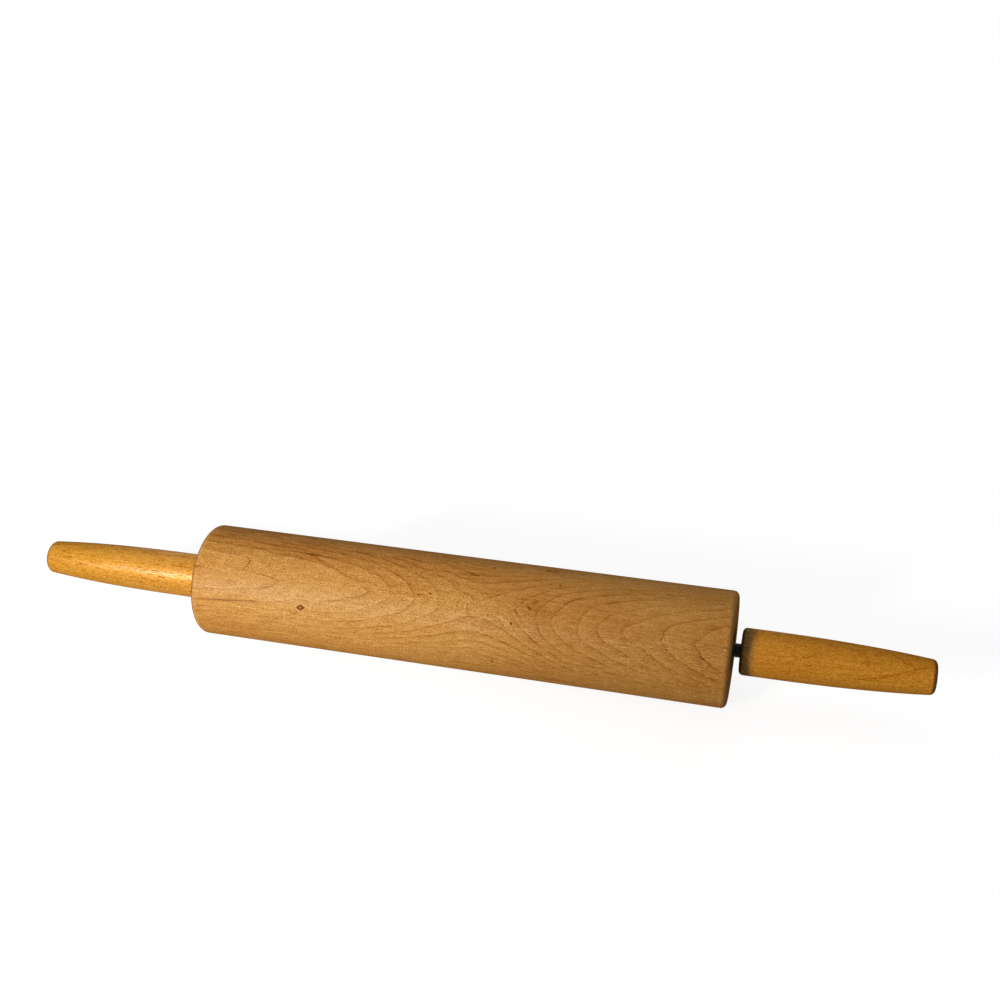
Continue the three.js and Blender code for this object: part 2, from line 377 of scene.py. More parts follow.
def dentSum(x, angle, dents):
    # sum of shallow round hollows: depth times exp of minus the squared distance in half sizes
    centreX, centreA, halfX, halfA, depth = (column[:, None, None] for column in dents.T)
    around = (angle - centreA + np.pi) % (2 * np.pi) - np.pi
    return (depth * np.exp(-((x - centreX) / halfX) ** 2 - (around * axisHeight / halfA) ** 2)).sum(axis=0)


def addPiece(name, points, faces, finish, body, node, sharp=32.0):
    # points are mm about the pin's axis; the place goes into the mesh
    mesh = bpy.data.meshes.new(name)
    world = (points.reshape(-1, 3) + (0.0, 0.0, axisHeight)) * mm
    mesh.from_pydata(world.tolist(), [], faces)
    mesh.shade_smooth()
    mesh.set_sharp_from_angle(angle=math.radians(sharp))
    mesh.materials.append(finish)
    made = bpy.data.objects.new(name, mesh)
    scene.collection.objects.link(made)
    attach(made, body)
    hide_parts(node)


# barrel of oiled maple; lengths are mm, and places on its face are x and the way round from the face's middle
barrel = {
    "length": 381.0, "radius": 40.0, "edgeAlong": 3.8, "edgeIn": 4.0,
    "capSeat": 15.2, "capDepth": 1.05, "seat": 11.2, "seatDepth": 11.9, "relief": 8.05, "reliefDepth": 13.4,
    "bore": 6.45, "sides": 176, "steps": 230, "cornerRows": 12, "faceRows": 8, "faceLip": 0.4,
    "seed": 41, "dentMargin": 8.0, "nickInset": (0.8, 3.0),
    "dents": {"count": 70, "length": (0.8, 3.5), "height": (0.6, 2.0), "depth": (0.02, 0.12)},
    "nicks": {"count": 34, "length": (0.8, 2.0), "height": (0.8, 4.0), "depth": (0.05, 0.25)},
    "oval": 0.04, "ovalTurn": 0.7, "wave": 0.03, "waveLength": 61.0, "waveStart": 1.3,

    # growth rings cut through by the face, which is the angle above the front that they bulge towards
    "face": 38.0, "pithDepth": 311.0, "pithAt": (-16.2, 0.1642, 0.000584), "gap": 2.97, "start": -3.62,
    # rises along the barrel: direction, place, softness, rings per mm
    "bends": [(1, 36.0, 25.4, 0.1013), (-1, 16.8, 10.0, 0.0525), (-1, -68.5, 14.1, -0.0388),
              (1, 90.0, 30.0, -0.0658)],
    # local lifts: x, way round, half length, half height, lean, rings
    "bumps": [(-148.0, 14.7, 10.0, 5.5, 0.0, 0.42), (-140.0, 5.2, 11.0, 2.6, 0.0, -0.42),
              (-106.7, -15.4, 9.0, 4.0, 0.0, -0.30), (-58.0, 3.0, 17.0, 9.0, 0.0, 0.42),
              (71.0, -1.0, 8.0, 9.0, 0.0, 0.22), (88.0, -1.0, 6.0, 8.0, 0.0, -0.20),
              (118.0, -2.0, 13.0, 9.0, 0.0, 0.30)],
    "drift": 0.9, "ripple": 0.16, "lateral": 0.0076, "pithShare": 0.13, "leastPace": 0.0004, "endPace": 0.26,
    # widths of the ring lines and of the pale and dark wood beside them
    "soft": 1.0, "crisp": 0.36, "paleTail": 4.5, "lateTail": 3.0, "thinEach": 3.0, "thinStart": 0.35,

    # distances from the end where something starts and is full
    "atEnd": (1.3, 0.1), "rim": (1.5, 0.2), "wornAndLitFrom": (5.7, 3.3), "wornAndLitTo": (0.7, 1.9),
    "handled": (3.1, 0.9),     # at the left end only
    "flatEnd": (2.0, 3.8),     # from the outside, on the end face
    # stretches along x or the way round over which something comes in
    "lowLeft": ((-60.0, -130.0), (-5.0, -14.0)), "lowRight": ((60.0, 150.0), (16.0, -14.0)),
    "sideFade": (18.0, 46.0), "rearFade": (74.0, 104.0), "clearer": (-90.0, 10.0), "fainter": (20.0, 120.0),
    "calmer": (-60.0, 120.0), "rimTurn": (-60.0, 60.0),
    # parts of a noise that show
    "fadeAt": (0.30, 0.66), "dashAt": (0.60, 0.74), "fleckAt": (0.59, 0.72), "raggedAt": (0.30, 0.62),
    "chipAt": (0.54, 0.68), "pitAt": (0.60, 0.72), "redAt": (0.45, 0.75),
    "paleStreak": (0.56, 0.70), "darkStreak": (0.42, 0.28),

    # noises: scale, detail, roughness, move
    "layers": {
        "drift": ((0.022, 0.05, 0.05), 2.0, 0.5, (0, 0, 0)),
        "ripple": ((0.10, 0.22, 0.22), 1.0, 0.5, (7, 3, 1)),
        "fade": ((0.035, 0.12, 0.12), 2.0, 0.6, (11, 5, 2)),
        "longFibre": ((0.008, 0.42, 0.42), 3.0, 0.6, (0, 0, 0)),
        "fineFibre": ((0.11, 1.5, 1.5), 3.0, 0.65, (3, 1, 9)),
        "pores": ((0.42, 2.3, 2.3), 2.0, 0.6, (5, 8, 4)),
        "blotch": ((0.011, 0.028, 0.028), 3.0, 0.55, (2, 6, 3)),
        "cloud": ((0.07, 0.28, 0.28), 2.0, 0.5, (8, 3, 5)),
        "fleck": ((0.26, 1.25, 1.25), 2.0, 0.5, (1, 4, 8)),
        "speckle": ((1.2, 1.9, 1.9), 1.0, 0.6, (6, 1, 2)),
        "grime": ((0.25, 0.25, 0.25), 3.0, 0.6, (9, 9, 1)),
        "chips": ((1.1, 0.45, 0.45), 2.0, 0.5, (3, 7, 2)),
        "rays": ((0.1, 1.4, 0.10), 2.0, 0.6, (2, 3, 5)),
        "pits": ((0.1, 2.4, 2.4), 1.0, 0.5, (7, 2, 4)),
        "redder": ((0.016, 0.05, 0.05), 2.0, 0.5, (4, 2, 12)),
    },
    "streak": ((0.42, 16.0, 0.05), 2.0, 0.5, (2, 5, 9)),      # over x, ring number and way round

    # tone from dark to pale, and how far each thing moves it
    "tones": [(0.0, (0.19, 0.052, 0.008)), (0.25, (0.42, 0.153, 0.024)), (0.5, (0.60, 0.265, 0.052)),
              (0.72, (0.68, 0.325, 0.078)), (1.0, (0.80, 0.45, 0.160))],
    "base": 0.53, "swings": {"blotch": 0.42, "longFibre": 0.34, "fineFibre": 0.55, "cloud": 0.34},
    "lines": 0.33, "pale": 0.20, "late": 0.10, "dash": 0.16, "fleck": 0.11, "lowFleck": 0.52,
    "rayDepth": 0.30, "pitDepth": 0.12, "chipLight": 0.32, "speckle": 1.55, "fibre": 0.55,

    # soft ellipses on the face: x, way round, half length, half height, lean, weight
    "marks": [
        (-112.0, 25.2, 13.0, 0.6, -0.07, 0.42), (-105.5, 24.8, 4.2, 0.6, -0.09, 0.75),
        (-21.3, 4.9, 2.6, 0.6, 0.10, 0.55), (-14.3, 6.3, 1.6, 0.6, 0.25, 0.95),
        (55.0, 5.8, 1.9, 1.2, -0.60, 0.48), (58.8, 10.3, 2.3, 1.0, 0.40, 0.45),
        (57.0, 8.0, 4.0, 3.0, 0.0, 0.14), (47.0, 1.3, 2.2, 0.9, -0.90, 0.55),
        (44.4, -6.4, 0.75, 0.7, 0.0, 1.30), (72.4, 26.3, 0.65, 0.65, 0.0, 1.30),
        (32.0, -37.2, 0.8, 0.8, 0.0, 0.75), (24.2, 36.0, 0.9, 1.3, 0.0, 0.60),
        (13.0, 25.8, 9.0, 2.2, 0.02, 0.26), (61.0, 42.2, 2.0, 2.3, 0.0, 0.50),
        (66.3, 42.4, 2.3, 2.2, 0.0, 0.46), (-67.7, 8.3, 0.9, 0.6, 0.3, 0.60),
        (-69.8, 4.4, 0.8, 0.6, 0.3, 0.50), (-108.6, -19.4, 1.4, 1.1, 0.7, 0.34),
        (-112.0, -20.9, 2.8, 0.8, 0.12, 0.24), (-186.0, 3.8, 3.6, 1.1, 0.0, 0.55),
        (64.5, 2.4, 5.5, 6.5, -0.30, 0.12), (-170.0, -18.7, 19.0, 0.55, 0.10, 0.50),
        (-146.0, -16.3, 13.0, 0.5, 0.10, 0.28),
    ],
    "paintedLightAndTone": [                 # wide changes of tone, partly painted shade on the top and the bottom edge and a painted sheen on the front left
        (-20.0, -14.0, 75.0, 26.0, 0.0, 0.11), (-125.0, 30.0, 90.0, 16.0, 0.0, -0.19),
        (80.0, 36.0, 40.0, 14.0, 0.0, 0.10), (52.0, 7.0, 15.0, 9.0, 0.0, -0.14),
        (176.0, -8.0, 13.0, 60.0, 0.0, -0.10), (-120.0, -44.0, 80.0, 18.0, 0.0, -0.06),
        (20.0, -42.0, 70.0, 14.0, 0.0, 0.07), (-110.0, -4.0, 95.0, 24.0, 0.0, 0.02),
        (-50.0, -42.0, 25.0, 12.0, 0.0, 0.07), (-175.0, 28.0, 18.0, 14.0, 0.0, -0.08),
    ],
    "rubbed": [(90.0, -34.0, 1.6, 11.0, 0.0, 0.16), (77.0, 3.6, 4.5, 5.5, -0.2, 0.10),
               (136.0, 17.0, 6.0, 3.0, 0.3, 0.10)],
    # painted sheen: a pale yellow patch on the front left where the lamp's sheen falls
    "paintedSheen": [(-120.0, -10.0, 85.0, 26.0, 0.0, 0.36)],
    # painted shade: redder on the top and the right, which get less light
    "paintedShadeRed": [(78.0, 6.0, 44.0, 13.0, 0.0, 0.60), (-60.0, 24.0, 70.0, 14.0, 0.0, 0.75),
            (60.0, 24.0, 70.0, 14.0, 0.0, 0.45)],
    "hazy": [(15.0, 6.0, 42.0, 20.0, 0.0, 0.35), (54.0, 1.5, 12.0, 9.0, 0.0, 0.60),
             (-140.0, 5.0, 20.0, 13.0, 0.0, 0.70)],
    "fan": [(-8.0, -14.0, 34.0, 14.0, 0.0, 0.45)],
    "sparkle": [(26.0, 0.0, 34.0, 15.0, -0.10, 0.26)],
    "streaky": [(30.0, -8.0, 40.0, 16.0, -0.10, 0.52), (110.0, -26.0, 50.0, 13.0, 0.0, 0.40)],
    # thin lines through points on the face, half their width, weight
    "strokes": [
        ([(-153.0, 16.0), (-148.8, 12.5), (-149.8, 8.5), (-152.8, 5.1)], 0.6, 0.50),
        ([(-152.8, 5.1), (-140.3, 3.8), (-131.0, 2.8), (-123.9, 0.9), (-128.4, -3.2), (-135.5, -5.6)],
         0.5, 0.42),
        ([(-109.1, 24.8), (-85.0, 15.2), (-63.4, 5.3), (-58.3, 1.7)], 0.45, 0.34),
        ([(-58.2, 1.0), (-63.4, -2.5), (-71.7, -5.7), (-86.0, -8.5)], 0.45, 0.34),
        ([(9.5, 26.2), (13.0, 25.3), (16.5, 25.4)], 0.5, 0.50),
        ([(18.5, 26.4), (22.5, 25.6)], 0.5, 0.40),
    ],
    "strokeReach": 0.62,       # half length of a stretch over its run along x
    "knot": {"at": (-106.0, -15.7), "half": (3.1, 1.9), "lean": 0.10, "ragged": 0.8,
             "eye": (1.0, 0.8, 0.0, 0.75), "collarAt": (2.6, 1.2), "coreAt": (1.25, 0.8), "collarShare": 0.35,
             "collar": (0.74, 0.39, 0.13), "core": (0.19, 0.045, 0.0015)},

    "redTint": (0.97, 0.87, 0.76), "paintedSheenColour": (0.66, 0.38, 0.125), "handledColour": (0.13, 0.055, 0.018),
    "rimColours": ((0.33, 0.185, 0.075), (0.44, 0.29, 0.16)),      # left, right; grey-brown, partly painted shade at the rounded edges
    "dull": 0.47, "coat": 0.024, "coatSpeckle": 0.024, "coatDull": 0.46, "coatIor": 3.0,
    "bump": (0.30, 0.25),      # strength, depth
}


def barrelShape():
    # radius = profile - dents - nicks - a trace of out-of-round, as a function of row and angle
    b = barrel
    end = b["length"] / 2
    flat = end - b["edgeAlong"]
    faceTop = b["radius"] - b["edgeIn"]
    top = np.column_stack((np.linspace(-flat, flat, b["steps"]), np.full(b["steps"], b["radius"])))
    corner = edgeArc(flat, faceTop, b["edgeAlong"], b["edgeIn"], 0, 90, b["cornerRows"])[1:]
    down = np.linspace(faceTop, b["capSeat"] + b["faceLip"], b["faceRows"])[1:]
    face = np.column_stack((np.full_like(down, end), down))
    hole = [(end, b["capSeat"]), (end - b["capDepth"], b["capSeat"]), (end - b["capDepth"], b["seat"]),
            (end - b["seatDepth"], b["seat"]), (end - b["seatDepth"], b["relief"]),
            (end - b["reliefDepth"], b["relief"]), (end - b["reliefDepth"], b["bore"])]
    half = np.vstack((corner, face, hole))
    mirror = half[::-1] * (-1.0, 1.0)
    profile = np.vstack((top, half, mirror))
    rng = np.random.default_rng(b["seed"])
    reach = flat - b["dentMargin"]
    dents = scatter(rng, rng.uniform(-reach, reach, b["dents"]["count"]), b["dents"])
    count = b["nicks"]["count"]
    whichEnd = np.where(rng.random(count) < 0.5, -1.0, 1.0)
    nicks = scatter(rng, whichEnd * (end - rng.uniform(*b["nickInset"], count)), b["nicks"])
    x = profile[:, :1]
    r = profile[:, 1:]
    angle = roundAngles(b["sides"])
    outside = (r > faceTop - 0.1).astype(float)
    wear = dentSum(x, angle, np.vstack((dents, nicks)))
    oval = b["oval"] * (1 + np.cos(2 * angle + b["ovalTurn"]))
    wave = b["wave"] * (1 + np.sin(x / b["waveLength"] + b["waveStart"]))
    return turnedGrid(x, r - outside * (wear + oval + wave), b["sides"])


def spots(marks, along, swing):
    # soft ellipses: weight times exp of minus the squared distance in half sizes
    made = []
    for x, up, halfX, halfUp, lean, weight in marks:
        dx = along - x
        dy = swing - up - dx * lean
        made.append((-((dx / halfX) ** 2.0 + (dy / halfUp) ** 2.0)).exp() * weight)
    return sum(made[1:], made[0])


def strokeMarks(strokes, reach):
    # one long soft ellipse for each stretch between two points
    rows = []
    for points, half, weight in strokes:
        for (x0, y0), (x1, y1) in zip(points, points[1:]):
            lean = (y1 - y0) / (x1 - x0)
            high = half * math.hypot(1.0, lean)
            rows.append(((x0 + x1) / 2, (y0 + y1) / 2, abs(x1 - x0) * reach, high, lean, weight))
    return rows


def barrelRings(n, along, across, depth, swing):
    # ring number: distance from a bowed pith, plus rises along the barrel, local lifts and slow warps
    b = barrel
    p0, p1, p2 = b["pithAt"]
    pith = along * along * p2 + along * p1 + p0
    sideways = across - pith
    far = ((depth + b["pithDepth"]) ** 2.0 + sideways * sideways).root()
    ring = (far - (b["pithDepth"] + b["radius"])) / b["gap"] + b["start"]
    slopes = []
    for way, at, width, rate in b["bends"]:
        gone = (along - at) * way
        span = (gone * gone + width * width).root()
        ring = ring + (span + gone) * (rate / 2)
        slopes.append((gone / span + 1.0) * (rate * way / 2))
    climb = sum(slopes[1:], slopes[0])
    ring = ring + spots(b["bumps"], along, swing)
    ring = ring + (n["drift"] - 0.5) * b["drift"] + (n["ripple"] - 0.5) * b["ripple"]
    # rings per mm along the face, so that a line keeps its width
    lateral = (across + pith * b["pithShare"]) * b["lateral"]
    return ring, (climb * climb + lateral * lateral + b["leastPace"]).root()


def barrelWood():
    b = barrel
    w = Finish("oiled_maple")
    place = w.aboutAxis(b["face"])
    along, across, depth = w.split(place)
    swing = w.math("ARCTAN2", across, depth) * b["radius"]      # mm round from the face's middle
    n = w.layers(place, b["layers"])
    end = b["length"] / 2
    fromMiddle = along.size()
    aside = swing.size()

    def nearEnd(name):
        start, full = b[name]
        return fromMiddle.ease(end - start, end - full)

    def spread(name):
        return spots(b[name], along, swing)

    def corner(name):
        alongSpan, swingSpan = b[name]
        return along.ease(*alongSpan) * swing.ease(*swingSpan)

    atEnd = nearEnd("atEnd")
    rim = nearEnd("rim")
    start, full = b["flatEnd"]
    outward = (across * across + depth * depth).root()
    onFace = outward.ease(b["radius"] - start, b["radius"] - full) * atEnd      # flat end inside the rim

    # ring lines: a soft dark side, a crisp edge, and thinner lines between
    ring, pace = barrelRings(n, along, across, depth, swing)
    pace = pace + atEnd * b["endPace"]
    share = ring.part()
    before = (1.0 - share) / pace            # mm to the next line
    after = share / pace                     # mm from the last one
    between = (ring * b["thinEach"] + b["thinStart"]).part() / (pace * b["thinEach"])
    soft = (-(before / b["soft"]) ** 2.0).exp()
    crisp = (-(after / b["crisp"]) ** 2.0).exp()
    fade = n["fade"].ease(*b["fadeAt"])
    lowLeft = corner("lowLeft")
    lowRight = corner("lowRight")
    thinShare = (1.0 - fade) * 0.45 + lowRight * 0.40 + spread("fan")
    thin = (-(between / b["crisp"]) ** 2.0).exp() * thinShare
    frontal = 1.0 - aside.ease(*b["sideFade"]) * 0.7 + aside.ease(*b["rearFade"]) * 0.6
    clear = (fade * 0.7 + 0.3) * (along.ease(*b["clearer"]) * 0.35 + 0.65) * (1.0 - lowLeft * 0.7)
    sharp = 1.0 - spread("hazy")
    lines = soft.most(crisp).most(thin) * clear * frontal.most(atEnd) * sharp
    lines = lines * (1.0 - rim * 0.6 + onFace * 0.9)
    pale = (-(after / b["paleTail"])).exp() * b["pale"]
    late = (-(before / b["lateTail"])).exp() * b["late"]

    # fibres, pores and flecks run along the barrel, streaks follow the rings
    tone = sum(((n[name] - 0.5) * far for name, far in b["swings"].items()), b["base"])
    dash = n["pores"].ease(*b["dashAt"])
    fleck = n["fleck"].ease(*b["fleckAt"])
    ragged = n["fineFibre"].ease(*b["raggedAt"])
    rise = (pale - late) * frontal * sharp * (1.0 - onFace)
    fainter = 1.0 - along.ease(*b["fainter"]) * 0.28
    # the wide tone spots hold painted shade and painted sheen
    tone = tone - (lines * b["lines"] - rise) * fainter - dash * b["dash"] + spread("paintedLightAndTone")
    streak = w.noise(w.joined(along, ring, swing), *b["streak"])
    streak = streak.ease(*b["paleStreak"]) - streak.ease(*b["darkStreak"]) * 0.7
    tone = tone + streak * spread("streaky")
    tone = tone + fleck * (lowRight * b["lowFleck"] + spread("sparkle") + b["fleck"])
    tone = tone + spread("rubbed") * ragged
    marks = spots(b["marks"] + strokeMarks(b["strokes"], b["strokeReach"]), along, swing)
    tone = tone - marks * (ragged * 0.5 + 0.5)

    # rims are greyer and darker, partly painted shade where the rounded edge turns from the lamp and partly
    # old flour and oil; end faces are darker end grain
    # the rounded edge's first part is paler: pale chips of wear, and a painted highlight that keeps it bright
    # where it turns from the lamp
    worn = nearEnd("wornAndLitFrom") * nearEnd("wornAndLitTo")
    chipped = n["chips"].ease(*b["chipAt"])
    tone = tone - rim * (0.02 + n["grime"] * 0.05) + atEnd * 0.05 + worn * (chipped * b["chipLight"] + 0.04)
    pits = n["pits"].ease(*b["pitAt"])
    tone = tone + onFace * ((n["rays"] - 0.5) * b["rayDepth"] - pits * b["pitDepth"])

    # colour: redder patches, partly painted shade on the top and the right; a painted sheen in pale yellow on
    # the front left; grey rims, partly painted shade; the left rim darker from use
    colour = w.ramp(tone, b["tones"])
    # redder: random patches, plus painted shade on the top and the right
    redder = n["redder"].ease(*b["redAt"]) * 0.22 + spread("paintedShadeRed")
    colour = w.blend(redder, colour, b["redTint"], "MULTIPLY")
    # painted sheen on the front left
    colour = w.blend(spread("paintedSheen"), colour, b["paintedSheenColour"])
    rimColour = w.blend(along.ease(*b["rimTurn"]), *b["rimColours"])
    colour = w.blend(rim * (0.40 + n["grime"] * 0.4) * (1.0 - onFace * 0.65), colour, rimColour)
    start, full = b["handled"]
    handled = along.ease(start - end, full - end) * (1.0 - onFace)
    colour = w.blend(handled * (0.55 + n["grime"] * 0.5), colour, b["handledColour"])
    calmer = (1.1 - along.ease(*b["calmer"]) * 0.3) * (1.0 - onFace * 0.7)
    grain = (n["speckle"] - 0.5) * b["speckle"] + (n["fineFibre"] - 0.5) * b["fibre"]
    colour = w.grained(colour, grain * calmer)

    # one small knot, a lens with a pale collar and a pale eye
    k = b["knot"]
    dx = along - k["at"][0]
    dy = swing - k["at"][1] - dx * k["lean"]
    reach = (dx / k["half"][0]) ** 2.0 + (dy / k["half"][1]).size() + (n["fineFibre"] - 0.5) * k["ragged"]
    collar = reach.ease(*k["collarAt"])
    core = reach.ease(*k["coreAt"]) * (1.0 - spots([(*k["at"], *k["eye"])], along, swing))
    colour = w.blend(collar * k["collarShare"], colour, k["collar"])
    colour = w.blend(core, colour, k["core"])

    dull = b["dull"] + (n["blotch"] - 0.5) * 0.2 + lines * 0.06 + dash * 0.1 + rim * 0.06
    bare = (1.0 - atEnd * 0.9) * (1.0 - marks.ease(0.0, 0.5) * 0.9) * (1.0 - core * 0.9)
    sockets = {"Base Color": colour, "Roughness": dull, "Specular IOR Level": 0.0,
               "Coat Weight": (b["coat"] + n["speckle"] * b["coatSpeckle"]) * bare,
               "Coat Roughness": b["coatDull"], "Coat IOR": b["coatIor"]}
    height = n["fineFibre"] * 0.5 + n["speckle"] * 0.5 - dash * 0.5 - lines * 0.2 - core * 0.6
    return w.surface(sockets, height, *b["bump"])


grid = barrelShape()
faces = loopFaces(*grid.shape[:2])
addPiece("barrel_turning", grid, faces, barrelWood(), "barrel", "barrel")
print("barrel made")


# handles of varnished maple
handle = {
    "start": 195.8, "length": 127.0, "radius": 16.1, "taper": 4.5, "power": 2.8, "innerEdge": 3.0,
    "tipEdge": 3.6, "tipFlat": 7.76, "plugHole": 7.14, "plugFloor": 305.34, "plugLip": 0.15,
    "threadBore": 3.34, "socket": 4.83, "socketDepth": 15.0, "socketLip": 0.3,
    "sides": 112, "steps": 110, "innerRows": 9, "tipRows": 12, "faceRows": 6,
    "dents": {"count": 26, "length": (0.7, 2.6), "height": (1.5, 4.0), "depth": (0.02, 0.10)},
    "oval": 0.03, "ovalTwist": 40.0,

    # fibres take their move from the side, the other noises have their own
    "fibres": {
        "drift": ((0.02, 0.07, 0.07), 2.0, 0.5),
        "longFibre": ((0.012, 0.6, 0.6), 3.0, 0.6),
        "fineFibre": ((0.16, 1.9, 1.9), 3.0, 0.65),
        "blotch": ((0.02, 0.06, 0.06), 2.0, 0.5),
    },
    "dashes": ((0.20, 1.25, 1.25), 1.0, 0.5),
    "layers": {
        "rub": ((0.10, 0.3, 0.3), 3.0, 0.6, (2, 9, 5)),
        "speckle": ((0.6, 1.8, 1.8), 1.0, 0.6, (6, 1, 2)),
        "glint": ((0.22, 1.4, 1.4), 2.0, 0.6, (5, 3, 8)),
    },
    "tones": [(0.0, (0.20, 0.055, 0.004)), (0.25, (0.44, 0.152, 0.010)), (0.5, (0.64, 0.270, 0.026)),
              (0.75, (0.73, 0.345, 0.045)), (1.0, (0.84, 0.48, 0.11))],
    "base": 0.60, "swings": {"blotch": 0.30, "longFibre": 0.40, "fineFibre": 0.50},
    "slant": 0.35, "warp": 2.2, "innerShade": 0.16, "tipDark": 0.10, "speckle": 1.2,
    # distances from the inner end or the tip where something starts and is full
    "innerEnd": (2.4, 0.4), "tipEnd": (3.8, 1.4), "paintedShadow": (12.5, 4.0), "polished": (10.0, 6.0),
    # the first colour below is the painted shadow of the barrel on the right handle, the second a painted deep
    # shade on the inner edge
    "paintedShadowColour": (0.135, 0.108, 0.05), "innerShadeColour": (0.030, 0.023, 0.014),
    "tipColour": (0.12, 0.052, 0.026), "lineAt": (0.62, 0.96), "lineEnd": (1.0, 0.97), "dashAt": (0.60, 0.72),
    "glintAt": (0.40, 0.68), "rubAt": (0.45, 0.65),
    "dull": 0.46, "coatDull": 0.37, "coatIor": 3.0, "bump": (0.45, 0.36),

    "left": {"seed": 5, "turn": 30.0, "lean": 0.035, "gap": 3.4, "move": (40, 7, 3), "dashMove": (3, 2, 7),
             "ring": 0.12, "dash": 0.38, "gloss": 0.09, "silk": 0.15, "soil": 0.0, "tip": 0.5,
             "tint": (1.0, 1.0, 1.0),
             "marks": [(-268.0, 5.0, 5.0, 0.5, 0.0, 0.25), (-252.0, 1.0, 8.0, 0.4, 0.02, 0.20)]},
    # the right handle carries the painted shadow of the barrel at its inner end
    "right": {"seed": 23, "turn": 34.0, "lean": -0.045, "gap": 3.0, "move": (3, 21, 8), "dashMove": (8, 2, 7),
              "ring": 0.13, "dash": 0.15, "gloss": 0.02, "silk": 0.05, "soil": 0.72, "tip": 0.8,
              "tint": (1.05, 0.95, 0.84),
              "marks": [(281.0, -7.5, 7.0, 0.5, 0.25, 0.36), (293.0, -3.5, 8.0, 0.5, 0.41, 0.30),
                        (306.0, 2.5, 9.0, 0.5, 0.50, 0.30), (315.0, 7.0, 6.0, 0.5, 0.47, 0.22),
                        (278.0, -9.0, 10.0, 0.5, 0.02, 0.28), (236.0, -8.0, 9.0, 0.5, -0.04, 0.22)]},
}


def handleShape(side):
    # radius = inner radius - taper (u / length) ^ power, with rounded ends, less a few dents
    h = handle
    start = h["start"]
    stop = start + h["length"]
    taperEnd = h["length"] - h["tipEdge"]
    u = np.linspace(h["innerEdge"], taperEnd, h["steps"])
    radius = h["radius"] - h["taper"] * (u / h["length"]) ** h["power"]
    body = np.column_stack((start + u, radius))
    edge = h["innerEdge"]
    inner = edgeArc(start + edge, h["radius"] - edge, edge, edge, -90, 0, h["innerRows"])[:-1]
    tipHeight = radius[-1] - h["tipFlat"]
    tip = edgeArc(start + taperEnd, h["tipFlat"], h["tipEdge"], tipHeight, 0, 90, h["tipRows"])[1:]
    socketEnd = start + h["socketDepth"]
    mouth = h["socket"] + h["socketLip"]
    bore = [(stop, h["plugHole"] + h["plugLip"]), (stop - h["plugLip"], h["plugHole"]),
            (h["plugFloor"], h["plugHole"]), (h["plugFloor"], h["threadBore"]), (socketEnd, h["threadBore"]),
            (socketEnd, h["socket"]), (start + h["socketLip"], h["socket"]), (start, mouth)]
    up = np.linspace(mouth, h["radius"] - edge, h["faceRows"])[1:-1]
    face = np.column_stack((np.full_like(up, start), up))
    profile = np.vstack((inner, body, tip, bore, face))
    rng = np.random.default_rng(h[side]["seed"])
    dents = scatter(rng, rng.uniform(start, stop, h["dents"]["count"]), h["dents"])
    x = profile[:, :1]
    angle = roundAngles(h["sides"])
    worn = len(inner) + len(body) + len(tip) - 2      # rows that the wear reaches
    outside = (np.arange(len(profile)) < worn).astype(float)[:, None]
    wear = dentSum(x, angle, dents) + h["oval"] * (1 + np.cos(2 * angle + x / h["ovalTwist"]))
    return turnedGrid(x, profile[:, 1:] - outside * wear, h["sides"]) * sideTurn(side)


